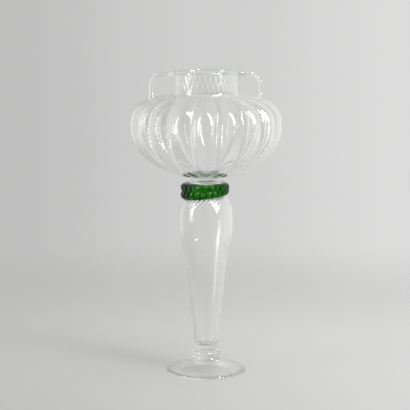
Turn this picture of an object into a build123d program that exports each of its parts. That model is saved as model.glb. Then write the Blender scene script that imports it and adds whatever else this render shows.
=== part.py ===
"""Footed forcing vase of hot-worked glass: a melon-ribbed bowl with a round neck and two
handles, on a tall hollow stem with a ringed knop and a spread foot. A green trail is wound
over the joint between stem and bowl.

Millimetres, +Z up. The origin is on the floor under the vase's axis, -Y is the front, and
the two handles stand out along X. Each piece is one gather of glass, set hot against its
neighbour, so the pieces meet face to face.
"""

from build123d import *

import os
from math import acos, asin, cos, pi, radians, sin, sqrt

# Foot: a thin disc that rises to the seat of the knop and rests on a flat ring.
foot_radius = 46.0
foot_edge = 3.2
foot_edge_bevel = 0.9
foot_height = 12.0
foot_seat_radius = 14.5
foot_ring_width = 6.0
foot_kick = 3.4
foot_rim_slope = 0.06

# Knop: two equal rings with a groove between them.
knop_radius = 16.5
knop_groove_radius = 14.3
knop_ring_height = 6.5

# Stem: a hollow taper that swells to a bulb under the collar and is open at its neck.
stem_foot_radius = 12.4
stem_waist_radius = 25.8
stem_bulb_radius = 31.0
stem_neck_radius = 20.5
stem_taper_height = 118.5
stem_swell_height = 34.0
stem_shoulder_height = 30.0
stem_neck_height = 10.5
stem_waist_round = 40.0
stem_wall = 2.6
stem_floor = 8.0
stem_floor_round = 7.0

# Wafer: the disc of clear glass that closes the stem and carries the bowl.
wafer_straight_height = 7.4
wafer_cone_height = 3.0

# Bowl: an ellipse below its widest line and a squarer curve above it, in upright lobes.
bowl_radius = 87.7
bowl_lower_height = 60.5
bowl_shoulder_height = 33.5
bowl_shoulder_power = 3.0
bowl_seat_radius = 19.0
bowl_wall = 2.6
bowl_floor = 5.5
bowl_floor_radius = 14.0
lobe_count = 18
lobe_depth = 5.0
points_per_lobe = 4
lower_section_count = 9
shoulder_section_count = 8

# Neck, with a fire-polished rim and a throat that flares into the shoulder.
neck_radius = 35.7
neck_wall = 2.6
neck_height = 29.8
rim_bevel = 0.8
throat_flare = 6.0
throat_rise = 0.8

# Collar: a green trail wound twice round the joint, the second turn aslant, and nicked
# into flutes.
collar_radius = 28.0
collar_upper_height = 8.6
collar_lower_height = 11.6
collar_overlap = 3.2
collar_reveal = 4.4
collar_tilt = 5.5
collar_bevel = 2.2
collar_flute_count = 24
collar_flute_depth = 1.5

# Handles: a rod drawn out from a pad on the neck and bent down to a pad on the shoulder.
handle_reach = 62.4
handle_drop = 3.6
handle_bend = 13.5
handle_radius = 2.3
handle_pad_radius = 3.5
handle_pad_length = 9.0
handle_root = 6.0

quarter_turn = 90.0

# Heights of the joints, from the floor up.
knop_base = foot_height
stem_base = knop_base + 2 * knop_ring_height
waist_level = stem_base + stem_taper_height
bulb_level = waist_level + stem_swell_height
stem_neck_base = bulb_level + stem_shoulder_height
stem_top = stem_neck_base + stem_neck_height
wafer_top = stem_top + wafer_straight_height + wafer_cone_height
collar_top = wafer_top - collar_reveal


def lower_depth(radius, half_width, height):
    """Depth of the bowl's lower ellipse under its widest line, at a radius."""
    return height * sqrt(1 - (radius / half_width) ** 2)


def shoulder_rise(radius, half_width, height):
    """Rise of the bowl's shoulder over its widest line, at a radius."""
    power = bowl_shoulder_power
    return height * (1 - (radius / half_width) ** power) ** (1 / power)


bowl_middle = wafer_top + lower_depth(bowl_seat_radius, bowl_radius, bowl_lower_height)
neck_base = bowl_middle + shoulder_rise(neck_radius, bowl_radius, bowl_shoulder_height)
rim_top = neck_base + neck_height


def polar_point(radius, angle):
    """A point of a sketch, by its distance from the axis and its turn from +X."""
    return (radius * cos(angle), radius * sin(angle))


def lobed_outline(radius, depth):
    """Draws a closed wave with a crest in front, as two halves that meet on the X axis."""
    step_count = points_per_lobe * lobe_count // 2
    for half_start in (0, pi):
        points = []
        for step in range(step_count + 1):
            angle = half_start + pi * step / step_count
            dip = (1 - cos((angle + pi / 2) * lobe_count)) / 2
            points.append(polar_point(radius - depth * dip, angle))
        Spline(*points)


def nicked_outline(radius, depth):
    """Draws a ring of convex flutes that meet in sharp nicks, with a flute in front."""
    pitch = 2 * pi / collar_flute_count
    for flute in range(collar_flute_count):
        crest = -pi / 2 + flute * pitch
        ThreePointArc(
            polar_point(radius - depth, crest - pitch / 2),
            polar_point(radius, crest),
            polar_point(radius - depth, crest + pitch / 2),
        )


def bowl_sections(half_width, lower_height, shoulder_height, first_radius, last_radius):
    """Radius and level of the bowl's cross-sections, spaced evenly along its two curves."""
    sections = []
    start = asin(first_radius / half_width)
    for step in range(lower_section_count):
        radius = half_width * sin(start + (pi / 2 - start) * step / lower_section_count)
        sections.append((radius, bowl_middle - lower_depth(radius, half_width, lower_height)))
    sections.append((half_width, bowl_middle))
    share = 2 / bowl_shoulder_power
    end = acos((last_radius / half_width) ** (1 / share))
    for step in range(1, shoulder_section_count + 1):
        radius = half_width * cos(end * step / shoulder_section_count) ** share
        rise = shoulder_rise(radius, half_width, shoulder_height)
        sections.append((radius, bowl_middle + rise))
    return sections


def lobed_body(sections):
    """A solid drawn through lobed cross-sections; the lobes shrink with the radius."""
    widest = max(radius for radius, level in sections)
    with BuildPart() as body:
        for radius, level in sections:
            with BuildSketch(Plane.XY.offset(level)):
                with BuildLine():
                    lobed_outline(radius, lobe_depth * radius / widest)
                make_face()
        loft()
    return body.part


def wound_turn(centre_level, height, tilt):
    """One turn of the trail: a nicked disc with a bevelled edge, tilted about Y."""
    lean = radians(tilt)
    axis_direction = (sin(lean), 0, cos(lean))
    middle = Plane((0, 0, centre_level), x_dir=(cos(lean), 0, -sin(lean)), z_dir=axis_direction)
    upright = Plane((0, 0, centre_level), x_dir=middle.x_dir, z_dir=(0, -1, 0))
    with BuildPart() as turn:
        with BuildSketch(middle):
            with BuildLine():
                nicked_outline(collar_radius, collar_flute_depth)
            make_face()
        extrude(amount=height, both=True)
        with BuildSketch(upright) as edge_profile:
            Rectangle(collar_radius, height, align=(Align.MIN, Align.CENTER))
            outer_corners = edge_profile.vertices().group_by(Axis.X)[-1]
            chamfer(outer_corners, length=collar_bevel)
        revolve(axis=Axis((0, 0, centre_level), axis_direction), mode=Mode.INTERSECT)
    return turn.part


with BuildPart() as foot:
    with BuildSketch(Plane.XZ):
        with BuildLine():
            ring_inside = (foot_radius - foot_ring_width, 0)
            edge_top = (foot_radius - foot_edge_bevel, foot_edge)
            Polyline(
                ring_inside,
                (foot_radius - foot_edge_bevel, 0),
                (foot_radius, foot_edge_bevel),
                (foot_radius, foot_edge - foot_edge_bevel),
                edge_top,
            )
            TangentArc(edge_top, (foot_seat_radius, foot_height), tangent=(-1, foot_rim_slope))
            Polyline((foot_seat_radius, foot_height), (0, foot_height), (0, foot_kick))
            TangentArc((0, foot_kick), ring_inside, tangent=(1, 0))
        make_face()
    revolve(axis=Axis.Z)

with BuildPart() as knop:
    groove_level = knop_base + knop_ring_height
    with BuildSketch(Plane.XZ):
        with BuildLine():
            half_ring = knop_ring_height / 2
            lower_seat = (knop_groove_radius, knop_base)
            groove = (knop_groove_radius, groove_level)
            upper_seat = (knop_groove_radius, stem_base)
            Polyline((0, stem_base), (0, knop_base), lower_seat)
            ThreePointArc(lower_seat, (knop_radius, knop_base + half_ring), groove)
            ThreePointArc(groove, (knop_radius, groove_level + half_ring), upper_seat)
            Line(upper_seat, (0, stem_base))
        make_face()
    revolve(axis=Axis.Z)

with BuildPart() as stem:
    taper_slope = (stem_waist_radius - stem_foot_radius) / stem_taper_height
    with BuildSketch(Plane.XZ):
        with BuildLine():
            waist = (stem_waist_radius, waist_level)
            bulb = (stem_bulb_radius, bulb_level)
            Polyline((0, stem_base), (stem_foot_radius, stem_base), waist)
            TangentArc(bulb, waist, tangent=(0, -1))
            EllipticalCenterArc(
                (stem_neck_radius, bulb_level),
                stem_bulb_radius - stem_neck_radius,
                stem_shoulder_height,
                start_angle=0,
                arc_size=quarter_turn,
            )
            Polyline(
                (stem_neck_radius, stem_neck_base),
                (stem_neck_radius, stem_top),
                (0, stem_top),
                (0, stem_base),
            )
        make_face()
    revolve(axis=Axis.Z)
    rings = stem.edges().filter_by(GeomType.CIRCLE)
    waist_edge = rings.filter_by_position(Axis.Z, waist_level, waist_level)
    fillet(waist_edge, radius=stem_waist_round)
    with BuildSketch(Plane.XZ):
        with BuildLine():
            floor_level = stem_base + stem_floor
            round_level = floor_level + stem_floor_round
            round_radius = stem_foot_radius + taper_slope * (round_level - stem_base) - stem_wall
            inner_waist = (stem_waist_radius - stem_wall, waist_level)
            inner_bulb = (stem_bulb_radius - stem_wall, bulb_level)
            inner_neck_radius = stem_neck_radius - stem_wall
            inner_shoulder_height = stem_shoulder_height - stem_wall
            EllipticalCenterArc(
                (0, round_level),
                round_radius,
                stem_floor_round,
                start_angle=-quarter_turn,
                arc_size=quarter_turn,
            )
            Line((round_radius, round_level), inner_waist)
            TangentArc(inner_bulb, inner_waist, tangent=(0, -1))
            EllipticalCenterArc(
                (inner_neck_radius, bulb_level),
                stem_bulb_radius - stem_neck_radius,
                inner_shoulder_height,
                start_angle=0,
                arc_size=quarter_turn,
            )
            Polyline(
                (inner_neck_radius, bulb_level + inner_shoulder_height),
                (inner_neck_radius, stem_top),
                (0, stem_top),
                (0, floor_level),
            )
        make_face()
    revolve(axis=Axis.Z, mode=Mode.SUBTRACT)

with BuildPart() as wafer:
    with BuildSketch(Plane.XZ):
        with BuildLine():
            Polyline(
                (0, stem_top),
                (stem_neck_radius, stem_top),
                (stem_neck_radius, stem_top + wafer_straight_height),
                (bowl_seat_radius, wafer_top),
                (0, wafer_top),
                close=True,
            )
        make_face()
    revolve(axis=Axis.Z)

# The bowl's outside as a solid, which the bowl is hollowed from and the handles are cut by.
with BuildPart() as envelope:
    mouth_radius = neck_radius - neck_wall
    outer_sections = bowl_sections(
        bowl_radius,
        bowl_lower_height,
        bowl_shoulder_height,
        bowl_seat_radius,
        mouth_radius - neck_wall,
    )
    add(lobed_body(outer_sections))
    with BuildSketch(Plane.XY.offset(bowl_middle)):
        Circle(neck_radius)
    extrude(amount=rim_top - bowl_middle)

with BuildPart() as bowl:
    inner_sections = bowl_sections(
        bowl_radius - bowl_wall,
        bowl_lower_height - bowl_floor,
        bowl_shoulder_height - bowl_wall,
        bowl_floor_radius,
        mouth_radius - neck_wall,
    )
    add(envelope.part)
    add(lobed_body(inner_sections), mode=Mode.SUBTRACT)
    with BuildSketch(Plane.XY.offset(bowl_middle)):
        Circle(mouth_radius)
    extrude(amount=rim_top - bowl_middle, mode=Mode.SUBTRACT)
    with BuildSketch(Plane.XZ):
        throat_top = neck_base + throat_rise
        throat_base = throat_top - throat_flare
        with BuildLine():
            Polyline(
                (mouth_radius, throat_top),
                (mouth_radius + throat_flare, throat_base),
                (mouth_radius, throat_base),
                close=True,
            )
        make_face()
    revolve(axis=Axis.Z, mode=Mode.SUBTRACT)
    rim_edges = bowl.faces().sort_by(Axis.Z)[-1].edges()
    chamfer(rim_edges, length=rim_bevel)

with BuildPart() as collar:
    upper_level = collar_top - collar_upper_height / 2
    lower_top = collar_top - collar_upper_height + collar_overlap
    lower_level = lower_top - collar_lower_height / 2
    add(wound_turn(upper_level, collar_upper_height, 0))
    add(wound_turn(lower_level, collar_lower_height, collar_tilt))
    with BuildSketch(Plane.XY.offset(bulb_level)):
        Circle(stem_neck_radius)
    extrude(amount=wafer_top - bulb_level, mode=Mode.SUBTRACT)
    add(stem.part, mode=Mode.SUBTRACT)

with BuildPart() as right_handle:
    handle_level = rim_top - handle_drop
    shoulder_level = bowl_middle + shoulder_rise(handle_reach, bowl_radius, bowl_shoulder_height)
    with BuildLine(Plane.XZ) as handle_path:
        FilletPolyline(
            (neck_radius - handle_root, handle_level),
            (handle_reach, handle_level),
            (handle_reach, shoulder_level - handle_root),
            radius=handle_bend,
        )
    rod = handle_path.wire()
    with BuildSketch(Plane(rod @ 0, z_dir=rod % 0)):
        Circle(handle_radius)
    sweep(path=rod)
    for end, inward in ((0, 1), (1, -1)):
        pad_seat = Plane(rod @ end, z_dir=inward * (rod % end))
        with BuildSketch(pad_seat):
            Circle(handle_pad_radius)
        with BuildSketch(pad_seat.offset(handle_root + handle_pad_length)):
            Circle(handle_radius)
        loft()
    add(envelope.part, mode=Mode.SUBTRACT)

with BuildPart() as left_handle:
    mirror(right_handle.part, about=Plane.YZ)

foot.part.label = "foot"
knop.part.label = "knop"
stem.part.label = "stem"
wafer.part.label = "wafer"
bowl.part.label = "bowl"
collar.part.label = "collar"
right_handle.part.label = "right_handle"
left_handle.part.label = "left_handle"

os.makedirs("parts", exist_ok=True)
export_step(foot.part, "parts/foot.step")
export_step(knop.part, "parts/knop.step")
export_step(stem.part, "parts/stem.step")
export_step(wafer.part, "parts/wafer.step")
export_step(bowl.part, "parts/bowl.step")
export_step(collar.part, "parts/collar.step")
export_step(right_handle.part, "parts/right_handle.step")
export_step(left_handle.part, "parts/left_handle.step")
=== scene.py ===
"""Dresses a footed forcing vase of hot-worked glass around its packed construction.

Every gather of glass of the real vase is one class here: the stem, the knop, the foot, the melon-ribbed
bowl, the wafer, the green collar and the two handles. Each makes a closed mesh in metres, in the frame of
the construction, and rules in Geometry Nodes shape it and lay on its clear or green glass. The studio is
a pale floor under soft light.
"""

import logging
from collections.abc import Mapping, Sequence
from dataclasses import dataclass
from enum import Enum
from functools import cache
from math import acos, asin, atan2, cos, hypot, pi, radians, sin, sqrt, tan
from typing import ClassVar

import bpy
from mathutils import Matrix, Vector


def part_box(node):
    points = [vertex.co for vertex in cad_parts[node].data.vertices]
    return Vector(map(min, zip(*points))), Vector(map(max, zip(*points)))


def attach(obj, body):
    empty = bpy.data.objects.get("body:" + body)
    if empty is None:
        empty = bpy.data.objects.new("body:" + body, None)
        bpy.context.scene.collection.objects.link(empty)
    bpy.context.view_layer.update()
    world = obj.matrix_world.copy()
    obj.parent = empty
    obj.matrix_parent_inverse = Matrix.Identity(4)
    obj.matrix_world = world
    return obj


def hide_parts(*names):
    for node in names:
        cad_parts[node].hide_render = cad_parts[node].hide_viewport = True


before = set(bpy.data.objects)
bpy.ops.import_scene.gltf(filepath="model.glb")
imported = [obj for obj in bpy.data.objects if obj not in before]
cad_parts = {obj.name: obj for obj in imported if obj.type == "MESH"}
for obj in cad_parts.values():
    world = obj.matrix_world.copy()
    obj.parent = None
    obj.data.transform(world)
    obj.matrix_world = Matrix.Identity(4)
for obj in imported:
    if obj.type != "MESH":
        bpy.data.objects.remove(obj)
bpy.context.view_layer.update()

MM = 0.001
SHARP_ANGLE = radians(42)
LEAST_RADIUS = 0.01 * MM

Point = tuple[float, float]
Span = tuple[float, float]
Colour = tuple[float, float, float]
Socket = bpy.types.NodeSocket
Operand = float | Socket

log = logging.getLogger("vase")


class Slot(Enum):
    """The record's material slots."""

    CLEAR = "clear_glass"
    GREEN = "green_glass"


class Side(Enum):
    """The side of the vase that a handle is on, as the sign of X."""

    LEFT = -1
    RIGHT = 1


class Rule(Enum):
    """The rules that shape a gather and lay on its glass."""

    PLAIN = "plain_skin"
    MELON_RIBS = "melon_ribs"
    OPTIC_RIBS = "optic_ribs"
    NICKED_FLUTES = "nicked_flutes"
    TOOL_RINGS = "tool_rings"


class Share(Enum):
    """Names of the mesh attributes that say how much of a rule or a finish each place takes."""

    COLUMN = "column"
    LOBE = "lobe"
    RELIEF = "relief"
    TWIST = "twist"
    THICK = "thick"
    NICK = "nick"
    PHASE = "phase"
    FUSED = "fused"
    GLOW = "glow"


# Outlines


def straight(start: Point, end: Point, steps: int) -> list[Point]:
    """Gives the points along a straight run.

    Args:
        start: Where the run starts. This point is left out.
        end: Where the run ends.
        steps: How many points to give.

    Returns:
        The points, the last of them the end.
    """
    points = []
    for step in range(1, steps + 1):
        part = step / steps
        points.append((start[0] + part * (end[0] - start[0]), start[1] + part * (end[1] - start[1])))
    return points


def bend(start: Point, corner: Point, end: Point, steps: int) -> list[Point]:
    """Gives the points of a soft bend that heads for a corner and turns off before it.

    Args:
        start: Where the bend starts. This point is left out.
        corner: The corner that the bend cuts.
        end: Where the bend ends.
        steps: How many points to give.

    Returns:
        The points, the last of them the end.
    """
    points = []
    for step in range(1, steps + 1):
        part = step / steps
        pulls = (((1 - part) ** 2, start), (2 * part * (1 - part), corner), (part**2, end))
        across, up = (sum(pull * spot[axis] for pull, spot in pulls) for axis in (0, 1))
        points.append((across, up))
    return points


def tangent_arc(start: Point, end: Point, heading: Point, steps: int) -> list[Point]:
    """Gives the points of the arc that leaves a point in a direction and passes through another.

    Args:
        start: Where the arc starts. This point is left out.
        end: Where the arc ends.
        heading: The direction of the arc at its start.
        steps: How many points to give.

    Returns:
        The points, the last of them the end.
    """
    size = hypot(*heading)
    across = (-heading[1] / size, heading[0] / size)
    chord = (end[0] - start[0], end[1] - start[1])
    radius = (chord[0] ** 2 + chord[1] ** 2) / (2 * (chord[0] * across[0] + chord[1] * across[1]))
    centre = (start[0] + radius * across[0], start[1] + radius * across[1])
    first = atan2(start[1] - centre[1], start[0] - centre[0])
    last = atan2(end[1] - centre[1], end[0] - centre[0])
    sweep = (last - first + pi) % (2 * pi) - pi
    return ellipse_arc(centre, (abs(radius), abs(radius)), (first, first + sweep), steps)


def ellipse_arc(centre: Point, halves: Point, angles: Span, steps: int) -> list[Point]:
    """Gives the points of a stretch of an ellipse.

    Args:
        centre: The middle of the ellipse.
        halves: Its half axes along the radius and along the vase's axis.
        angles: Where the stretch starts and ends, in radians. The first point is left out.
        steps: How many points to give.

    Returns:
        The points, in order.
    """
    points = []
    for step in range(1, steps + 1):
        angle = angles[0] + (angles[1] - angles[0]) * step / steps
        points.append((centre[0] + halves[0] * cos(angle), centre[1] + halves[1] * sin(angle)))
    return points


def smooth_step(value: float, low: float, high: float) -> float:
    """Gives 0 below low, 1 above high and an eased share between them."""
    part = min(1.0, max(0.0, (value - low) / (high - low)))
    return part * part * (3 - 2 * part)


@dataclass(frozen=True)
class Ring:
    """One ring of a turned wall, and its share of the rules that shape the wall."""

    radius: float
    level: float
    lobe: float = 0.0
    relief: float = 0.0
    twist: float = 0.0
    thick: float = 0.0
    fused: bool = False


def plain_rings(points: Sequence[Point]) -> list[Ring]:
    """Gives a ring for each point of an outline, with no share of any rule."""
    return [Ring(*point) for point in points]


# Meshes


@cache
def node_box(node: str) -> tuple[Vector, Vector]:
    """Reads the corners of a node's box at rest from the frame, once."""
    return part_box(node)


def bridged(rows: Sequence[Sequence[int]], closed: bool = True) -> list[tuple[int, ...]]:
    """Gives the faces between rows of points.

    Args:
        rows: The numbers of the points of each row.
        closed: Whether each row runs on from its end to its start.

    Returns:
        The faces, row by row. A point that a pole repeats counts once.
    """
    faces = []
    for lower, upper in zip(rows, rows[1:]):
        for column in range(len(lower) if closed else len(lower) - 1):
            after = (column + 1) % len(lower)
            corners = (lower[column], lower[after], upper[after], upper[column])
            faces.append(tuple(dict.fromkeys(corners)))
    return faces


def new_mesh(
    name: str,
    points: Sequence[Sequence[float]],
    faces: Sequence[Sequence[int]],
    shares: Mapping[Share, Sequence[float]],
) -> bpy.types.Mesh:
    """Makes a mesh.

    Args:
        name: The mesh's name.
        points: The places of its points.
        faces: The numbers of the points of each face.
        shares: One number for each point, for each share to store.

    Returns:
        The mesh.
    """
    mesh = bpy.data.meshes.new(name)
    mesh.from_pydata(points, [], faces)
    for share, values in shares.items():
        attribute = mesh.attributes.new(share.value, "FLOAT", "POINT")
        attribute.data.foreach_set("value", values)
    return mesh


def turned_mesh(name: str, rings: Sequence[Ring], columns: int) -> bpy.types.Mesh:
    """Turns an outline about the vase's axis into a closed skin.

    Args:
        name: The mesh's name.
        rings: The outline from a pole on the axis to another, the outside on its right.
        columns: How many points go round each ring.

    Returns:
        The mesh, with the rings' shares as attributes.
    """
    points: list[tuple[float, float, float]] = []
    owners: list[Ring] = []
    turns: list[float] = []
    rows: list[list[int]] = []
    for ring in rings:
        count = columns if ring.radius > 0 else 1
        rows.append([len(points) + column % count for column in range(columns)])
        for column in range(count):
            turn = 2 * pi * column / columns
            points.append((ring.radius * cos(turn), ring.radius * sin(turn), ring.level))
            owners.append(ring)
            turns.append(turn)
    shares = {Share.COLUMN: turns}
    for share in (Share.LOBE, Share.RELIEF, Share.TWIST, Share.THICK):
        shares[share] = [getattr(ring, share.value) for ring in owners]
    mesh = new_mesh(name, points, bridged(rows), shares)
    marks = mesh.attributes.new(Share.FUSED.value, "BOOLEAN", "FACE")
    marks.data.foreach_set("value", [ring.fused for ring in rings[:-1] for _ in range(columns)])
    return mesh


def link_object(name: str, data: bpy.types.ID) -> bpy.types.Object:
    """Puts a mesh, a lamp or a camera in the scene as an object at the origin."""
    made = bpy.data.objects.new(name, data)
    bpy.context.scene.collection.objects.link(made)
    return made


def settle(piece: bpy.types.Object) -> None:
    """Turns a piece and its modifiers into a plain smooth mesh with sharp nicks and joints."""
    depsgraph = bpy.context.evaluated_depsgraph_get()
    draft = piece.data
    settled = bpy.data.meshes.new_from_object(
        piece.evaluated_get(depsgraph),
        preserve_all_data_layers=True,
        depsgraph=depsgraph,
    )
    piece.modifiers.clear()
    piece.data = settled
    bpy.data.meshes.remove(draft)
    settled.name = piece.name
    settled.shade_smooth()
    settled.set_sharp_from_angle(angle=SHARP_ANGLE)


# Node trees


class Wiring:
    """Writes the nodes and links of a tree."""

    low_colour: ClassVar[int] = 6
    high_colour: ClassVar[int] = 7
    mixed_colour: ClassVar[int] = 2

    def __init__(self, tree: bpy.types.NodeTree) -> None:
        """Takes the tree to write in."""
        self.tree = tree

    def socket(self, name: str, kind: str, in_out: str = "INPUT") -> str:
        """Adds a named input or output to the tree and gives its identifier."""
        return self.tree.interface.new_socket(name, in_out=in_out, socket_type=kind).identifier

    def feed(self, socket: Socket, value: object) -> None:
        """Links a socket to another, or sets its plain value, where a colour is opaque."""
        if isinstance(value, Socket):
            self.tree.links.new(value, socket)
        else:
            socket.default_value = (*value, 1.0) if socket.type == "RGBA" else value

    def node(
        self,
        kind: str,
        feeds: Mapping[str | int, object] | None = None,
        **settings: object,
    ) -> bpy.types.bpy_prop_collection:
        """Adds a node.

        Args:
            kind: The node's type name.
            feeds: Sockets or plain values for its inputs, by name or number.
            settings: Properties of the node, which are set first.

        Returns:
            The node's outputs.
        """
        made = self.tree.nodes.new(kind)
        for name, setting in settings.items():
            setattr(made, name, setting)
        for key, value in (feeds or {}).items():
            self.feed(made.inputs[key], value)
        return made.outputs

    def math(self, operation: str, *operands: Operand) -> Socket:
        """Works out a number from numbers or sockets."""
        return self.node("ShaderNodeMath", dict(enumerate(operands)), operation=operation)[0]

    def vector(self, operation: str, *operands: object) -> bpy.types.bpy_prop_collection:
        """Works out a vector or a length from vectors."""
        return self.node("ShaderNodeVectorMath", dict(enumerate(operands)), operation=operation)

    def parts(self, vector: Socket) -> bpy.types.bpy_prop_collection:
        """Takes a vector apart into its X, Y and Z."""
        return self.node("ShaderNodeSeparateXYZ", {0: vector})

    def blend(self, part: Operand, low: object, high: object) -> Socket:
        """Mixes two colours by a share, with the sockets that the node has for colours."""
        feeds = {"Factor": part, self.low_colour: low, self.high_colour: high}
        return self.node("ShaderNodeMix", feeds, data_type="RGBA")[self.mixed_colour]

    def span(self, value: Operand, source: Span, low: Operand = 0.0, high: Operand = 1.0) -> Socket:
        """Maps a span of a value to another span, eased at both ends."""
        feeds = {"Value": value, "From Min": source[0], "From Max": source[1], "To Min": low, "To Max": high}
        return self.node("ShaderNodeMapRange", feeds, interpolation_type="SMOOTHSTEP")["Result"]

    def share(self, share: Share, kind: str = "FLOAT") -> Socket:
        """Reads one of the mesh's shares in Geometry Nodes."""
        feeds = {"Name": share.value}
        return self.node("GeometryNodeInputNamedAttribute", feeds, data_type=kind)["Attribute"]

    def shader_share(self, share: Share) -> Socket:
        """Reads one of the mesh's shares in a material."""
        return self.node("ShaderNodeAttribute", attribute_name=share.value)["Fac"]

    def surface(self, part: Operand, first: Socket, second: Socket, depth: Socket | None = None) -> None:
        """Mixes two shaders by a share and makes them the material's surface.

        Args:
            part: The share of the second shader.
            first: The shader where the share is 0.
            second: The shader where it is 1.
            depth: The shader of what the surface holds, if it tints light.
        """
        feeds = {"Surface": self.node("ShaderNodeMixShader", {0: part, 1: first, 2: second})[0]}
        if depth is not None:
            feeds["Volume"] = depth
        self.node("ShaderNodeOutputMaterial", feeds)


def new_material(name: str) -> tuple[bpy.types.Material, Wiring]:
    """Makes a material with no nodes yet, and what writes them."""
    made = bpy.data.materials.new(name)
    made.use_nodes = True
    made.node_tree.nodes.clear()
    return made, Wiring(made.node_tree)


class ShapeRule:
    """A Geometry Nodes tree that moves a mesh's points by a rule and lays on its glass."""

    sizes: tuple[str, ...] = ()

    def __init__(self, rule: Rule, joint: bpy.types.Material) -> None:
        """Builds the tree.

        Args:
            rule: The rule, which names the tree.
            joint: The material of the faces that are fused to another gather.
        """
        self.tree = bpy.data.node_groups.new(rule.value, "GeometryNodeTree")
        self.wiring = Wiring(self.tree)
        self.joint = joint
        kinds = {"Geometry": "NodeSocketGeometry"}
        kinds |= dict.fromkeys(self.sizes, "NodeSocketFloat")
        kinds |= dict.fromkeys(("Glass", "Joint"), "NodeSocketMaterial")
        self.keys = {name: self.wiring.socket(name, kind) for name, kind in kinds.items()}
        self.wiring.socket("Geometry", "NodeSocketGeometry", "OUTPUT")
        self.inputs = self.wiring.node("NodeGroupInput")
        self.lay_glass(self.place(self.wiring.node("GeometryNodeInputPosition")[0]))

    def place(self, position: Socket) -> Socket:
        """Gives each point's new place; every rule but the plain one has its own."""
        return position

    def scaled_out(self, position: Socket, drawn: Operand) -> Socket:
        """Draws a place in towards the vase's axis by a share of its distance."""
        wiring = self.wiring
        parts = wiring.parts(position)
        factor = wiring.math("SUBTRACT", 1.0, drawn)
        feeds = {axis: wiring.math("MULTIPLY", parts[axis], factor) for axis in ("X", "Y")}
        return wiring.node("ShaderNodeCombineXYZ", {**feeds, "Z": parts["Z"]})[0]

    def turn_of(self, position: Socket) -> Socket:
        """Gives the angle of a place about the vase's axis, from the front."""
        parts = self.wiring.parts(position)
        return self.wiring.math("ADD", self.wiring.math("ARCTAN2", parts["Y"], parts["X"]), pi / 2)

    def radius_of(self, position: Socket) -> Socket:
        """Gives the distance of a place from the vase's axis, never quite nothing."""
        flat = self.wiring.vector("MULTIPLY", position, (1.0, 1.0, 0.0))[0]
        return self.wiring.math("MAXIMUM", self.wiring.vector("LENGTH", flat)["Value"], LEAST_RADIUS)

    def lay_glass(self, place: Socket) -> None:
        """Moves the points, realises the mesh and sets its glass, with the joint's on the fused faces."""
        wiring = self.wiring
        feeds = {"Geometry": self.inputs["Geometry"], "Position": place}
        moved = wiring.node("GeometryNodeSetPosition", feeds)[0]
        real = wiring.node("GeometryNodeRealizeInstances", {"Geometry": moved})[0]
        feeds = {"Geometry": real, "Material": self.inputs["Glass"]}
        glass = wiring.node("GeometryNodeSetMaterial", feeds)[0]
        fused = wiring.share(Share.FUSED, "BOOLEAN")
        feeds = {"Geometry": glass, "Selection": fused, "Material": self.inputs["Joint"]}
        joint = wiring.node("GeometryNodeSetMaterial", feeds)[0]
        wiring.node("NodeGroupOutput", {"Geometry": joint})

    def apply(self, piece: bpy.types.Object, glass: bpy.types.Material, gather: "Gather") -> None:
        """Puts the rule on a piece.

        Args:
            piece: The object to shape.
            glass: The material of its free skin.
            gather: The gather, whose sizes have the names of the rule's inputs.
        """
        modifier = piece.modifiers.new(self.tree.name, "NODES")
        modifier.node_group = self.tree
        modifier[self.keys["Glass"]] = glass
        modifier[self.keys["Joint"]] = self.joint
        for size in self.sizes:
            modifier[self.keys[size]] = float(getattr(gather, size))


class MelonRibs(ShapeRule):
    """Upright lobes with a crest in front, which shrink with the radius."""

    sizes = ("lobe_count", "lobe_depth", "valley_round", "widest_radius")

    def place(self, position: Socket) -> Socket:
        """Draws each point in by the lobes, whose valleys are tighter than their crests."""
        math = self.wiring.math
        turns = math("MULTIPLY", self.turn_of(position), self.inputs["lobe_count"])
        wave = math("COSINE", math("MULTIPLY", turns, 0.5))
        soft = math("POWER", self.inputs["valley_round"], 2.0)
        crest = math("SQRT", math("ADD", 1.0, soft))
        height = math("SQRT", math("MULTIPLY_ADD", wave, wave, soft))
        whole = math("SUBTRACT", crest, self.inputs["valley_round"])
        dip = math("DIVIDE", math("SUBTRACT", crest, height), whole)
        depth = math("DIVIDE", self.inputs["lobe_depth"], self.inputs["widest_radius"])
        drawn = math("MULTIPLY", math("MULTIPLY", dip, depth), self.wiring.share(Share.LOBE))
        return self.scaled_out(position, drawn)


class OpticRibs(ShapeRule):
    """Fine ribs from the mould, twisted about the axis as the glass was drawn out."""

    sizes = ("rib_count", "rib_depth", "twist")

    def place(self, position: Socket) -> Socket:
        """Turns each point by the twist and draws it in by its column's rib."""
        wiring = self.wiring
        math = wiring.math
        wave = math("COSINE", math("MULTIPLY", wiring.share(Share.COLUMN), self.inputs["rib_count"]))
        dip = math("MULTIPLY", math("SUBTRACT", 1.0, wave), 0.5)
        depth = math("MULTIPLY", self.inputs["rib_depth"], wiring.share(Share.RELIEF))
        drawn = math("DIVIDE", math("MULTIPLY", dip, depth), self.radius_of(position))
        angle = math("MULTIPLY", self.inputs["twist"], wiring.share(Share.TWIST))
        feeds = {"Vector": position, "Angle": angle}
        turned = wiring.node("ShaderNodeVectorRotate", feeds, rotation_type="Z_AXIS")[0]
        return self.scaled_out(turned, drawn)


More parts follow.
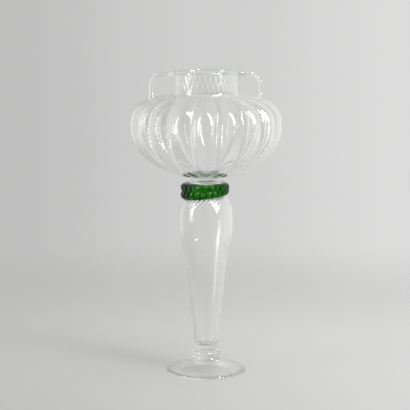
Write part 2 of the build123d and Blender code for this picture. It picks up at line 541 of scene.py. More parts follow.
class NickedFlutes(ShapeRule):
    """Rounded flutes that meet in sharp nicks, no two quite as deep."""

    sizes = ("flute_count", "flute_depth", "nick_sharpness", "widest_radius", "unevenness", "chance_step")

    def place(self, position: Socket) -> Socket:
        """Draws each point in by the flute that it is on."""
        wiring = self.wiring
        math = wiring.math
        phase = wiring.share(Share.PHASE)
        turns = math("DIVIDE", self.turn_of(position), 2 * pi)
        place = math("ADD", math("MULTIPLY", turns, self.inputs["flute_count"]), phase)
        crest = math("ABSOLUTE", math("COSINE", math("MULTIPLY", place, pi)))
        dip = math("POWER", math("SUBTRACT", 1.0, crest), self.inputs["nick_sharpness"])
        number = math("ADD", math("ROUND", place), math("MULTIPLY", phase, self.inputs["chance_step"]))
        chance = wiring.node("ShaderNodeTexWhiteNoise", {"W": number}, noise_dimensions="1D")["Value"]
        swing = math("MULTIPLY", math("SUBTRACT", chance, 0.5), self.inputs["unevenness"])
        depth = math("DIVIDE", self.inputs["flute_depth"], self.inputs["widest_radius"])
        uneven = math("MULTIPLY", depth, math("ADD", 1.0, swing))
        drawn = math("MULTIPLY", math("MULTIPLY", dip, uneven), wiring.share(Share.NICK))
        return self.scaled_out(position, drawn)


class ToolRings(ShapeRule):
    """Faint rings that the tool left while the glass was turned."""

    sizes = ("ring_pitch", "ring_depth")

    def place(self, position: Socket) -> Socket:
        """Moves each point up and down with its distance from the axis."""
        math = self.wiring.math
        turns = math("DIVIDE", self.radius_of(position), self.inputs["ring_pitch"])
        wave = math("SINE", math("MULTIPLY", turns, 2 * pi))
        height = math("MULTIPLY", wave, self.inputs["ring_depth"])
        rise = math("MULTIPLY", height, self.wiring.share(Share.RELIEF))
        lift = self.wiring.node("ShaderNodeCombineXYZ", {"Z": rise})[0]
        return self.wiring.vector("ADD", position, lift)[0]


# Finishes


@dataclass(frozen=True)
class WorkedGlass:
    """What hand work leaves in glass, as a shader group: streaks, waves and smudges."""

    stretch: tuple[float, float, float] = (1.0, 1.0, 0.3)
    streak_detail: float = 3.0
    streak_swirl: float = 0.6
    streak_span: Span = (0.35, 0.7)
    smudge_scale: float = 38.0
    smudge_detail: float = 5.0
    smudge_span: Span = (0.52, 0.72)

    def group(self) -> bpy.types.NodeTree:
        """Builds the group."""
        tree = bpy.data.node_groups.new("worked_glass", "ShaderNodeTree")
        wiring = Wiring(tree)
        wiring.socket("Vector", "NodeSocketVector")
        for name in ("Thin Tint", "Thick Tint"):
            wiring.socket(name, "NodeSocketColor")
        for name in ("Streak Scale", "Polish", "Smudge"):
            wiring.socket(name, "NodeSocketFloat")
        wiring.socket("Tint", "NodeSocketColor", "OUTPUT")
        for name in ("Roughness", "Height"):
            wiring.socket(name, "NodeSocketFloat", "OUTPUT")
        inputs = wiring.node("NodeGroupInput")
        drawn_out = wiring.node("ShaderNodeMapping", {"Vector": inputs["Vector"], "Scale": self.stretch})[0]
        feeds = {"Vector": drawn_out, "Scale": inputs["Streak Scale"]}
        feeds |= {"Detail": self.streak_detail, "Distortion": self.streak_swirl}
        streaks = wiring.node("ShaderNodeTexNoise", feeds)["Fac"]
        cloudy = wiring.span(streaks, self.streak_span)
        feeds = {"Vector": inputs["Vector"], "Scale": self.smudge_scale, "Detail": self.smudge_detail}
        breath = wiring.node("ShaderNodeTexNoise", feeds)["Fac"]
        results = {
            "Tint": wiring.blend(cloudy, inputs["Thin Tint"], inputs["Thick Tint"]),
            "Roughness": wiring.span(breath, self.smudge_span, inputs["Polish"], inputs["Smudge"]),
            "Height": streaks,
        }
        wiring.node("NodeGroupOutput", results)
        return tree


@dataclass(frozen=True)
class GlassFinish:
    """Hot-worked glass, with its tint, its polish and the waves in its skin."""

    name: str
    thin_tint: Colour
    thick_tint: Colour
    shade_tint: Colour
    lip_tint: Colour = (0.7, 0.82, 0.68)
    lip_span: Span = (0.45, 0.6)
    least_lip: float = 0.2
    polish: float = 0.0
    smudge: float = 0.02
    streak_scale: float = 60.0
    wave_height: float = 0.025 * MM
    refraction: float = 1.5
    mirror: float = 1.0
    deepest_path: float = 7.5
    deepest_mirror: float = 2.5
    depth_tint: Colour | None = None
    depth_density: float = 0.0

    def material(self, group: bpy.types.NodeTree) -> bpy.types.Material:
        """Builds the material.

        Args:
            group: The shared marks of hand work.

        Returns:
            The material, through which lamps shine as through thin glass.
        """
        made, wiring = new_material(self.name)
        feeds = {
            "Vector": wiring.node("ShaderNodeTexCoord")["Object"],
            "Streak Scale": self.streak_scale,
            "Thin Tint": self.thin_tint,
            "Thick Tint": self.thick_tint,
            "Polish": self.polish,
            "Smudge": self.smudge,
        }
        worked = wiring.node("ShaderNodeGroup", feeds, node_tree=group)
        uneven = wiring.span(worked["Height"], self.lip_span, self.least_lip)
        lip = wiring.math("MULTIPLY", wiring.shader_share(Share.THICK), uneven)
        waves = wiring.node("ShaderNodeBump", {"Distance": self.wave_height, "Height": worked["Height"]})
        feeds = {
            "Base Color": wiring.blend(lip, worked["Tint"], self.lip_tint),
            "Roughness": worked["Roughness"],
            "IOR": self.refraction,
            "Normal": waves["Normal"],
            "Specular Tint": (self.mirror, self.mirror, self.mirror),
            "Transmission Weight": 1.0,
        }
        skin = wiring.node("ShaderNodeBsdfPrincipled", feeds)[0]
        shade = wiring.node("ShaderNodeBsdfTransparent", {"Color": self.shade_tint})[0]
        depth = None
        if self.depth_tint is not None:
            feeds = {"Color": self.depth_tint, "Density": self.depth_density}
            depth = wiring.node("ShaderNodeVolumeAbsorption", feeds)[0]
        wiring.surface(self.seen_through(wiring), skin, shade, depth)
        return made

    def seen_through(self, wiring: Wiring) -> Socket:
        """Says which light goes straight through: a lamp's, and what is reflected too often to matter."""
        path = wiring.node("ShaderNodeLightPath")
        lamp = wiring.math("MAXIMUM", path["Is Shadow Ray"], path["Is Diffuse Ray"])
        lost = wiring.math("GREATER_THAN", path["Ray Depth"], self.deepest_path)
        trapped = wiring.math("GREATER_THAN", path["Glossy Depth"], self.deepest_mirror)
        return wiring.math("MAXIMUM", lamp, wiring.math("MAXIMUM", lost, trapped))


@dataclass(frozen=True)
class JointFinish:
    """A hot joint, where two gathers run into each other and no skin is left between them."""

    name: str = "fused_joint"

    def material(self) -> bpy.types.Material:
        """Builds the material, which lets everything through."""
        made, wiring = new_material(self.name)
        skin = wiring.node("ShaderNodeBsdfPrincipled", {"Alpha": 0.0, "Transmission Weight": 1.0})[0]
        wiring.node("ShaderNodeOutputMaterial", {"Surface": skin})
        return made


@dataclass
class Workshop:
    """The glass and the shaping rules that the gathers share."""

    glass: dict[Slot, bpy.types.Material]
    rules: dict[Rule, ShapeRule]

    @classmethod
    def opened(cls) -> "Workshop":
        """Makes the finishes and the rules."""
        group = WorkedGlass().group()
        clear = GlassFinish(
            name="clear_hot_glass",
            thin_tint=(1.0, 1.0, 0.998),
            thick_tint=(0.988, 0.993, 0.984),
            shade_tint=(0.95, 0.954, 0.949),
        )
        green = GlassFinish(
            name="green_hot_glass",
            thin_tint=(0.34, 0.64, 0.2),
            thick_tint=(0.27, 0.58, 0.15),
            shade_tint=(0.85, 0.92, 0.85),
            depth_tint=(0.14, 0.674, 0.012),
            depth_density=340.0,
            mirror=0.42,
        )
        kinds = {
            Rule.PLAIN: ShapeRule,
            Rule.MELON_RIBS: MelonRibs,
            Rule.OPTIC_RIBS: OpticRibs,
            Rule.NICKED_FLUTES: NickedFlutes,
            Rule.TOOL_RINGS: ToolRings,
        }
        joint = JointFinish().material()
        return cls(
            glass={Slot.CLEAR: clear.material(group), Slot.GREEN: green.material(group)},
            rules={rule: kind(rule, joint) for rule, kind in kinds.items()},
        )


# Pieces


@dataclass
class Gather:
    """A gather of glass that stands for one node of the construction."""

    slot: ClassVar[Slot] = Slot.CLEAR
    rules: ClassVar[tuple[Rule, ...]] = (Rule.PLAIN,)
    node: str = ""
    columns: int = 180

    @property
    def low(self) -> Vector:
        """The low corner of the node's box."""
        return node_box(self.node)[0]

    @property
    def high(self) -> Vector:
        """The high corner of the node's box."""
        return node_box(self.node)[1]

    def rings(self) -> list[Ring]:
        """Gives the outline from pole to pole; every turned gather has its own."""
        return []

    def mesh(self) -> bpy.types.Mesh:
        """Turns the outline into a closed skin."""
        return turned_mesh(f"{self.node}_draft", self.rings(), self.columns)

    def build(self, workshop: Workshop) -> None:
        """Makes the piece and shapes it by its rules."""
        piece = link_object(f"{self.node}_glass", self.mesh())
        for rule in self.rules:
            workshop.rules[rule].apply(piece, workshop.glass[self.slot], self)
        self.dress(piece)

    def dress(self, piece: bpy.types.Object) -> None:
        """Settles a piece's mesh and hangs it on the construction."""
        settle(piece)
        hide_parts(self.node)
        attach(piece, "root")
        log.info("%s: %d faces", piece.name, len(piece.data.polygons))


@dataclass
class Stem(Gather):
    """A hollow taper that swells to a bulb, with fine twisted ribs, open at its neck."""

    rules: ClassVar[tuple[Rule, ...]] = (Rule.OPTIC_RIBS,)
    node: str = "stem"
    columns: int = 384
    foot_radius: float = 12.4 * MM
    waist_radius: float = 25.8 * MM
    neck_radius: float = 20.5 * MM
    taper_height: float = 118.5 * MM
    swell_height: float = 34.0 * MM
    shoulder_height: float = 30.0 * MM
    waist_ease: float = 9.0 * MM
    wall: float = 2.6 * MM
    floor: float = 5.5 * MM
    floor_round: float = 7.0 * MM
    rib_count: int = 32
    rib_depth: float = 0.018 * MM
    rib_span: Span = (40.0 * MM, 130.0 * MM)
    pucker: float = 19.0
    pucker_span: Span = (14.0 * MM, 24.0 * MM)
    twist: float = 6.4
    taper_steps: int = 40
    waist_steps: int = 9
    swell_steps: int = 34
    shoulder_steps: int = 30
    neck_steps: int = 10
    throat_steps: int = 8
    floor_steps: int = 12

    @property
    def waist_level(self) -> float:
        """Where the taper turns into the swell."""
        return self.low.z + self.taper_height

    @property
    def bulb_level(self) -> float:
        """Where the stem is widest."""
        return self.waist_level + self.swell_height

    def skin_radius(self, level: float) -> float:
        """Gives the radius of the outside over the bulb, at a level."""
        part = max(0.0, (level - self.bulb_level) / self.shoulder_height)
        swell = self.high.x - self.neck_radius
        return self.neck_radius + swell * sqrt(max(0.0, 1 - part**2))

    def wall_points(self, inset: float, start: Point) -> list[Point]:
        """Gives one wall's outline from a start on the taper to the neck.

        Args:
            inset: How far the wall lies inside the outer one.
            start: Where the taper starts.

        Returns:
            The points after the start, up to the shoulder's end.
        """
        waist = (self.waist_radius - inset, self.waist_level)
        bulb = (self.high.x - inset, self.bulb_level)
        swell = tangent_arc(bulb, waist, (0.0, -1.0), self.swell_steps)[::-1]
        back = self.waist_ease / hypot(waist[0] - start[0], waist[1] - start[1])
        before = (waist[0] + (start[0] - waist[0]) * back, waist[1] + (start[1] - waist[1]) * back)
        after = min(swell, key=lambda point: abs(point[1] - waist[1] - self.waist_ease))
        points = straight(start, before, self.taper_steps)
        points += bend(before, waist, after, self.waist_steps)
        points += [*swell[swell.index(after) + 1 :], bulb]
        neck = (self.neck_radius - inset, self.bulb_level)
        halves = (self.high.x - self.neck_radius, self.shoulder_height - inset)
        return points + ellipse_arc(neck, halves, (0.0, pi / 2), self.shoulder_steps)

    def relief_at(self, level: float) -> float:
        """Gives the share of the ribs at a level: none at the thick foot, most in the pucker on top."""
        ribbed = smooth_step(level - self.low.z, *self.rib_span)
        return ribbed * (1 + self.pucker * smooth_step(level - self.bulb_level, *self.pucker_span))

    def turned_at(self, level: float) -> float:
        """Gives the share of the twist at a level."""
        return (level - self.low.z) / (self.high.z - self.low.z)

    def rings(self) -> list[Ring]:
        """Gives the outline up the outside, over the neck and down the inside."""
        base, top = self.low.z, self.high.z
        outer = [(self.foot_radius, base)]
        outer += self.wall_points(0.0, outer[0])
        outer += straight(outer[-1], (self.neck_radius, top), self.neck_steps)
        rings = [Ring(0.0, base, fused=True)]
        for radius, level in outer[:-1]:
            rings.append(Ring(radius, level, relief=self.relief_at(level), twist=self.turned_at(level)))
        rings.append(Ring(self.neck_radius, top, twist=1.0, fused=True))
        slope = (self.waist_radius - self.foot_radius) / self.taper_height
        rise = self.floor + self.floor_round
        halves = (self.foot_radius + slope * rise - self.wall, self.floor_round)
        inner = ellipse_arc((0.0, base + rise), halves, (-pi / 2, 0.0), self.floor_steps)
        inner += self.wall_points(self.wall, inner[-1])
        inner += straight(inner[-1], (self.neck_radius - self.wall, top), self.throat_steps)
        for radius, level in reversed(inner):
            rings.append(Ring(radius, level, twist=2 - self.turned_at(level)))
        rings.append(Ring(0.0, base + self.floor, twist=rings[-1].twist))
        return rings


@dataclass
class Knop(Gather):
    """Two equal rings of glass with a groove between them."""

    node: str = "knop"
    ring_radius: float = 16.5 * MM
    groove_radius: float = 14.3 * MM
    seat_radius: float = Stem.foot_radius
    ring_steps: int = 18

    def rings(self) -> list[Ring]:
        """Gives the outline from the foot's seat to the stem's."""
        base, top = self.low.z, self.high.z
        half = (top - base) / 4
        swell = self.ring_radius - self.groove_radius
        radius = (half**2 + swell**2) / (2 * swell)
        reach = asin(half / radius)
        rings = [Ring(0.0, base, fused=True), Ring(self.groove_radius, base)]
        for middle in (base + half, top - half):
            centre = (self.ring_radius - radius, middle)
            rings += plain_rings(ellipse_arc(centre, (radius, radius), (-reach, reach), self.ring_steps))
        return [*rings, Ring(self.seat_radius, top, fused=True), Ring(0.0, top)]


@dataclass
class Foot(Gather):
    """A thin disc that rises to the knop and rests on a flat ring round a hollow middle."""

    rules: ClassVar[tuple[Rule, ...]] = (Rule.TOOL_RINGS,)
    node: str = "foot"
    columns: int = 240
    edge_height: float = 3.2 * MM
    edge_round: float = 1.4 * MM
    rest_width: float = 6.0 * MM
    kick: float = 8.3 * MM
    hollow: float = 7.2 * MM
    hollow_radius: float = 12.0 * MM
    seat_radius: float = 14.5 * MM
    knop_radius: float = Knop.groove_radius
    rim_slope: float = 0.06
    ring_pitch: float = 5.2 * MM
    ring_depth: float = 0.035 * MM
    rim_fade: Span = (2.0 * MM, 8.0 * MM)
    seat_fade: Span = (0.0, 6.0 * MM)
    kick_steps: int = 10
    hollow_steps: int = 30
    rest_steps: int = 3
    edge_steps: int = 6
    top_steps: int = 56

    def rings(self) -> list[Ring]:
        """Gives the outline from the kick underneath to the seat on top."""
        radius, top = self.high.x, self.high.z
        heading = (-1.0, self.rim_slope)
        kick, hollow = (0.0, self.kick), (self.hollow_radius, self.hollow)
        rest_inside, rest_outside = (radius - self.rest_width, 0.0), (radius - self.edge_round, 0.0)
        edge_low, edge_high = (radius, self.edge_round), (radius, self.edge_height - self.edge_round)
        edge_top = (radius - self.edge_round, self.edge_height)
        outline = [kick, *bend(kick, (self.hollow_radius / 2, self.kick), hollow, self.kick_steps)]
        outline += tangent_arc(rest_inside, hollow, heading, self.hollow_steps)[-2::-1]
        outline += [rest_inside, *straight(rest_inside, rest_outside, self.rest_steps)]
        outline += bend(rest_outside, (radius, 0.0), edge_low, self.edge_steps)
        outline += [edge_high, *bend(edge_high, (radius, self.edge_height), edge_top, self.edge_steps)]
        rings = plain_rings(outline)
        for point in tangent_arc(edge_top, (self.seat_radius, top), heading, self.top_steps):
            fade = smooth_step(radius - point[0], *self.rim_fade)
            fade *= smooth_step(point[0] - self.seat_radius, *self.seat_fade)
            rings.append(Ring(*point, relief=fade))
        return [*rings, Ring(self.knop_radius, top, fused=True), Ring(0.0, top)]


@dataclass
class Bowl(Gather):
    """A melon-ribbed bowl with a round neck, whose mouth takes the bulb."""

    rules: ClassVar[tuple[Rule, ...]] = (Rule.OPTIC_RIBS, Rule.MELON_RIBS)
    node: str = "bowl"
    columns: int = 288
    widest_radius: float = 87.7 * MM
    lower_height: float = 60.5 * MM
    shoulder_height: float = 36.5 * MM
    shoulder_power: float = 3.0
    seat_radius: float = 19.0 * MM
    wall: float = 2.6 * MM
    floor: float = 2.7 * MM
    floor_radius: float = 12.0 * MM
    lobe_count: int = 18
    lobe_depth: float = 6.6 * MM
    lobe_fade: float = 12.6 * MM
    valley_round: float = 0.22
    base_lobes: float = 2.6
    base_span: Span = (22.0 * MM, 58.0 * MM)
    seat_ease: float = 6.0 * MM
    neck_radius: float = 35.7 * MM
    neck_ease: float = 4.2 * MM
    throat_flare: float = 6.72 * MM
    lip_radius: float = 1.9 * MM
    lip_lean: float = 0.4 * MM
    rib_count: int = 36
    rib_depth: float = 0.22 * MM
    root_fade: Span = (2.1 * MM, 8.4 * MM)
    rim_fade: Span = (1.0 * MM, 6.0 * MM)
    twist: float = 0.25
    lower_steps: int = 46
    shoulder_steps: int = 32
    ease_steps: int = 10
    neck_steps: int = 26
    flare_steps: int = 6
    lip_steps: int = 16

    @property
    def middle(self) -> float:
        """The level of the bowl's widest line."""
        return self.low.z + self.lower_height * sqrt(1 - (self.seat_radius / self.widest_radius) ** 2)

    @property
    def neck_root(self) -> float:
        """The level where the shoulder would meet the neck in a sharp corner."""
        return self.shoulder_level(self.neck_radius)

    def shoulder_level(self, radius: float, inset: float = 0.0) -> float:
        """Gives the level of the shoulder at a radius, or of a wall inside it."""
        part = (radius / (self.widest_radius - inset)) ** self.shoulder_power
        rise = (1 - part) ** (1 / self.shoulder_power)
        return self.middle + (self.shoulder_height - inset) * rise

    def skin_level(self, x: float, y: float) -> float:
        """Gives the level of the ribbed shoulder over a point of the floor."""
        wave = cos(self.lobe_count * (atan2(y, x) + pi / 2) / 2)
        crest = hypot(1.0, self.valley_round)
        dip = (crest - hypot(wave, self.valley_round)) / (crest - self.valley_round)
        return self.shoulder_level(hypot(x, y) / (1 - self.lobe_depth / self.widest_radius * dip))

    def relief_at(self, level: float) -> float:
        """Gives the share of the neck's fine ribs at a level: none at its root and rim."""
        rising = smooth_step(level - self.neck_root, *self.root_fade)
        return rising * smooth_step(self.high.z - level, *self.rim_fade)

    def turned_at(self, level: float) -> float:
        """Gives the share of the neck's twist at a level."""
        return max(0.0, level - self.neck_root) / (self.high.z - self.neck_root)

    def body(self, inset: float, first: float, floor: float, last: float) -> list[Ring]:
        """Gives the rings of one wall of the ribbed body, from its foot to its shoulder.

        Args:
            inset: How far the wall lies inside the outer one.
            first: The radius where the wall starts.
            floor: How much higher the wall's lowest point lies than the outer one's.
            last: The radius on the shoulder where the wall ends.

        Returns:
            The rings, with the lobes fading out towards the neck.
        """
        widest = self.widest_radius - inset
        height = self.lower_height - floor
        start = -acos(first / widest)
        points = [(first, self.middle + height * sin(start))]
        points += ellipse_arc((0.0, self.middle), (widest, height), (start, 0.0), self.lower_steps)
        power = 2 / self.shoulder_power
        end = acos((last / widest) ** (1 / power))
        for step in range(1, self.shoulder_steps + 1):
            radius = widest * cos(end * step / self.shoulder_steps) ** power
            points.append((radius, self.shoulder_level(radius, inset)))
        rings = []
        for radius, level in points:
            if level > self.middle:
                share = smooth_step(radius, last, self.neck_radius + self.lobe_fade)
            else:
                share = self.base_lobes + (1 - self.base_lobes) * smooth_step(radius, *self.base_span)
                share *= smooth_step(radius, first, first + self.seat_ease)
            rings.append(Ring(radius, level, lobe=share))
        return rings

    def rings(self) -> list[Ring]:
        """Gives the outline up the outside, over the rim and down the inside."""
        root, neck, mouth = self.neck_root, self.neck_radius, self.neck_radius - self.wall
        neck_start = root + self.neck_ease
        lip_level = self.high.z - self.lip_radius
        lip_start, lip_turn = lip_level - 2 * self.lip_radius, lip_level - self.lip_radius
        lip = (neck - self.wall / 2 + self.lip_lean, lip_level)
        turned = self.turned_at(lip_level)
        rings = [Ring(0.0, self.low.z, fused=True)]
        rings += self.body(0.0, self.seat_radius, 0.0, neck + self.neck_ease)
        shoulder = (rings[-1].radius, rings[-1].level)
        outer = bend(shoulder, (neck, root), (neck, neck_start), self.ease_steps)
        outer += straight((neck, neck_start), (neck, lip_start), self.neck_steps)
        lip_side = (lip[0] + self.lip_radius, lip_level)
        outer += bend((neck, lip_start), (neck, lip_turn), lip_side, self.flare_steps)
        for radius, level in outer:
            rings.append(Ring(radius, level, relief=self.relief_at(level), twist=self.turned_at(level)))
        for point in ellipse_arc(lip, (self.lip_radius, self.lip_radius), (0.0, pi), self.lip_steps):
            rings.append(Ring(*point, twist=turned, thick=1.0))
        inner_end = mouth + self.throat_flare
        inner_shoulder = (inner_end, self.shoulder_level(inner_end, self.wall))
        inner_root = (mouth, self.shoulder_level(mouth, self.wall))
        lip_side = (lip[0] - self.lip_radius, lip_level)
        inner = bend(lip_side, (mouth, lip_turn), (mouth, lip_start), self.flare_steps)
        inner += straight((mouth, lip_start), (mouth, neck_start), self.neck_steps)
        inner += bend((mouth, neck_start), inner_root, inner_shoulder, self.ease_steps)
        for radius, level in inner:
            twist = 2 * turned - self.turned_at(level)
            rings.append(Ring(radius, level, relief=self.relief_at(level), twist=twist))
        for ring in self.body(self.wall, self.floor_radius, self.floor, inner_end)[-2::-1]:
            rings.append(Ring(ring.radius, ring.level, lobe=ring.lobe, twist=2 * turned))
        return [*rings, Ring(0.0, rings[-1].level, twist=2 * turned)]


@dataclass
class Wafer(Gather):
    """The disc of clear glass that closes the stem and carries the bowl."""

    node: str = "wafer"
    straight_height: float = 4.2 * MM
    bead: float = 1.4 * MM
    groove_radius: float = 18.2 * MM
    groove_drop: float = 2.2 * MM
    dome: float = 2.0 * MM
    stem_bore: float = Stem.neck_radius - Stem.wall
    bowl_radius: float = Bowl.seat_radius
    dome_steps: int = 14
    side_steps: int = 8
    bead_steps: int = 18
    groove_steps: int = 8

    def rings(self) -> list[Ring]:
        """Gives the outline from the stem's hollow to the bowl's seat."""
        radius, base, top = self.high.x, self.low.z, self.high.z
        dome = (0.0, base + self.dome)
        edge, shoulder = (radius, base), (radius, base + self.straight_height)
        groove = (self.groove_radius, top - self.groove_drop)
        swell = (radius + 2 * self.bead, (shoulder[1] + groove[1]) / 2)
        waist = (self.groove_radius, top - self.groove_drop / 2)
        under = [dome, *tangent_arc(dome, (self.stem_bore, base), (1.0, 0.0), self.dome_steps)]
        side = [edge, *straight(edge, shoulder, self.side_steps)]
        side += bend(shoulder, swell, groove, self.bead_steps)
        side += bend(groove, waist, (self.bowl_radius, top), self.groove_steps)
        rings = [*plain_rings(under[:-1]), Ring(self.stem_bore, base, fused=True)]
        rings += plain_rings(side[:-1])
        return [*rings, Ring(self.bowl_radius, top, fused=True), Ring(0.0, top)]


@dataclass
class Collar(Gather):
    """A green trail wound twice round the joint, its second turn aslant, nicked into flutes."""

    slot: ClassVar[Slot] = Slot.GREEN
    rules: ClassVar[tuple[Rule, ...]] = (Rule.NICKED_FLUTES,)
    node: str = "collar"
    columns: int = 384
    widest_radius: float = 28.0 * MM
    upper_height: float = 10.4 * MM
    lower_height: float = 11.6 * MM
    overlap: float = 5.0 * MM
    tilt: float = radians(5.5)
    roundness: float = 2.6
    air_film: float = 0.15 * MM
    off_centre: float = 1.2 * MM
    sag: float = 2.0 * MM
    back_drop: float = 1.0 * MM
    flute_count: int = 24
    flute_depth: float = 3.2 * MM
    flute_rise: float = 3.5 * MM
    lower_phase: float = 0.5
    nick_sharpness: float = 2.2
    unevenness: float = 0.7
    chance_step: float = 77.0
    skin_steps: int = 54
    joint_steps: int = 10
    start_step: float = 0.02 * MM
    stem: Stem | None = None

    def top(self, turn: float) -> float:
        """Gives the level of the collar's upper edge, which winds down towards the back."""
        return self.high.z - self.sag - self.back_drop * (1 + sin(turn)) / 2

    def lower_middle(self, turn: float) -> float:
        """Gives the level of the second turn's middle, at an angle from +X."""
        middle = self.high.z - self.sag - self.upper_height + self.overlap - self.lower_height / 2
        return middle + tan(self.tilt) * self.widest_radius * cos(turn)

    def seat_radius(self, level: float) -> float:
        """Gives the collar's inner radius at a level, a film of air away from the neck."""
        return self.stem.skin_radius(level) + self.air_film

    def bulge(self, turn: float, level: float, middle: float, height: float) -> float:
        """Gives the radius of one turn of the trail, at an angle and a level."""
        part = min(1.0, abs(level - middle) / (height / 2))
        thick = self.widest_radius - self.off_centre * cos(turn) - self.stem.neck_radius
        return self.stem.neck_radius + thick * (1 - part**self.roundness) ** (1 / self.roundness)

    def start(self, turn: float) -> float:
        """Gives the level where the collar's skin leaves the stem, at an angle from +X."""
        lower = self.lower_middle(turn)
        level = lower - self.lower_height / 2
        while self.bulge(turn, level, lower, self.lower_height) < self.seat_radius(level):
            level += self.start_step
        return level

    def section(self, turn: float) -> list[tuple[float, float, float, float]]:
        """Gives the trail's section at an angle.

        Args:
            turn: The angle from +X.

        Returns:
            Radius, level, share of the flutes and their phase, up the skin and down the joint.
        """
        start, top = self.start(turn), self.top(turn)
        upper, lower = top - self.upper_height / 2, self.lower_middle(turn)
        rows = []
        for index in range(self.skin_steps + 1):
            level = start + (top - start) * (1 - cos(pi * index / self.skin_steps)) / 2
            first = 0.0
            if level > top - self.upper_height:
                first = self.bulge(turn, level, upper, self.upper_height)
            second = self.bulge(turn, level, lower, self.lower_height)
            seat = self.seat_radius(level)
            radius = max(first, second, seat)
            share = smooth_step(radius - seat, 0.0, self.flute_rise)
            rows.append((radius, level, share, 0.0 if first >= second else self.lower_phase))
        for index in range(1, self.joint_steps):
            level = top + (start - top) * index / self.joint_steps
            rows.append((self.seat_radius(level), level, 0.0, 0.0))
        return rows

    def mesh(self) -> bpy.types.Mesh:
        """Winds the section round the axis into a closed ring."""
        points: list[tuple[float, float, float]] = []
        nicks: list[float] = []
        phases: list[float] = []
        for column in range(self.columns):
            turn = 2 * pi * column / self.columns
            for radius, level, share, phase in self.section(turn):
                points.append((radius * cos(turn), radius * sin(turn), level))
                nicks.append(share)
                phases.append(phase)
        loop = len(points) // self.columns
        rows = [range(row, len(points), loop) for row in range(loop)]
        faces = bridged([*rows, rows[0]])
        return new_mesh(f"{self.node}_draft", points, faces, {Share.NICK: nicks, Share.PHASE: phases})


@dataclass
class Handle(Gather):
    """A rod drawn out from a pad on the neck and bent down to a pad on the shoulder."""

    side: Side = Side.RIGHT
    bowl: Bowl | None = None
    reach: float = 62.4 * MM
    drop: float = 3.6 * MM
    bend_radius: float = 13.5 * MM
    rod_radius: float = 2.3 * MM
    pad_radius: float = 3.5 * MM
    pad_length: float = 9.0 * MM
    seat_gap: float = 0.02 * MM
    columns: int = 24
    arm_steps: int = 16
    bend_steps: int = 20
    leg_steps: int = 18

    def path(self) -> list[Point]:
        """Gives the rod's centre line as X and Z, on the right, from the neck to the shoulder."""
        level = self.bowl.high.z - self.drop
        neck = (self.bowl.neck_radius, level)
        bend_start = (self.reach - self.bend_radius, level)
        centre = (bend_start[0], level - self.bend_radius)
        halves = (self.bend_radius, self.bend_radius)
        foot = (self.reach, self.bowl.skin_level(self.reach, 0.0))
        points = [neck, *straight(neck, bend_start, self.arm_steps)]
        points += ellipse_arc(centre, halves, (pi / 2, 0.0), self.bend_steps)
        return points + straight(points[-1], foot, self.leg_steps)

    def thickness(self, walked: float, length: float) -> float:
        """Gives the rod's radius along its length, which swells at both pads."""
        swell = self.pad_radius - self.rod_radius
        near = 1 - smooth_step(walked, 0.0, self.pad_length)
        far = 1 - smooth_step(length - walked, 0.0, self.pad_length)
        return self.rod_radius + swell * max(near, far)

    def mesh(self) -> bpy.types.Mesh:
        """Draws the rod along its path, with ends that sit on the neck and the shoulder."""
        path = self.path()
        last = len(path) - 1
        walked = [0.0]
        for here, there in zip(path, path[1:]):
            walked.append(walked[-1] + hypot(there[0] - here[0], there[1] - here[1]))
        points = []
        for index, (x, z) in enumerate(path):
            before, after = path[max(0, index - 1)], path[min(last, index + 1)]
            size = hypot(after[0] - before[0], after[1] - before[1])
            outward = (-(after[1] - before[1]) / size, (after[0] - before[0]) / size)
            radius = self.thickness(walked[index], walked[-1])
            for corner in range(self.columns):
                angle = 2 * pi * corner / self.columns
                away, y = radius * cos(angle), radius * sin(angle)
                place = [x + outward[0] * away, y, z + outward[1] * away]
                if index == 0:
                    place[0] = sqrt(self.bowl.neck_radius**2 - y**2) + self.seat_gap
                if index == last:
                    place[2] = self.bowl.skin_level(place[0], y) + self.seat_gap
                points.append((self.side.value * place[0], place[1], place[2]))
        rows = [range(row * self.columns, (row + 1) * self.columns) for row in range(len(path))]
        faces = [*bridged(rows), tuple(rows[0])[::-1], tuple(rows[-1])]
        if self.side is Side.RIGHT:
            faces = [face[::-1] for face in faces]
        return new_mesh(f"{self.node}_draft", points, faces, {})


# Studio


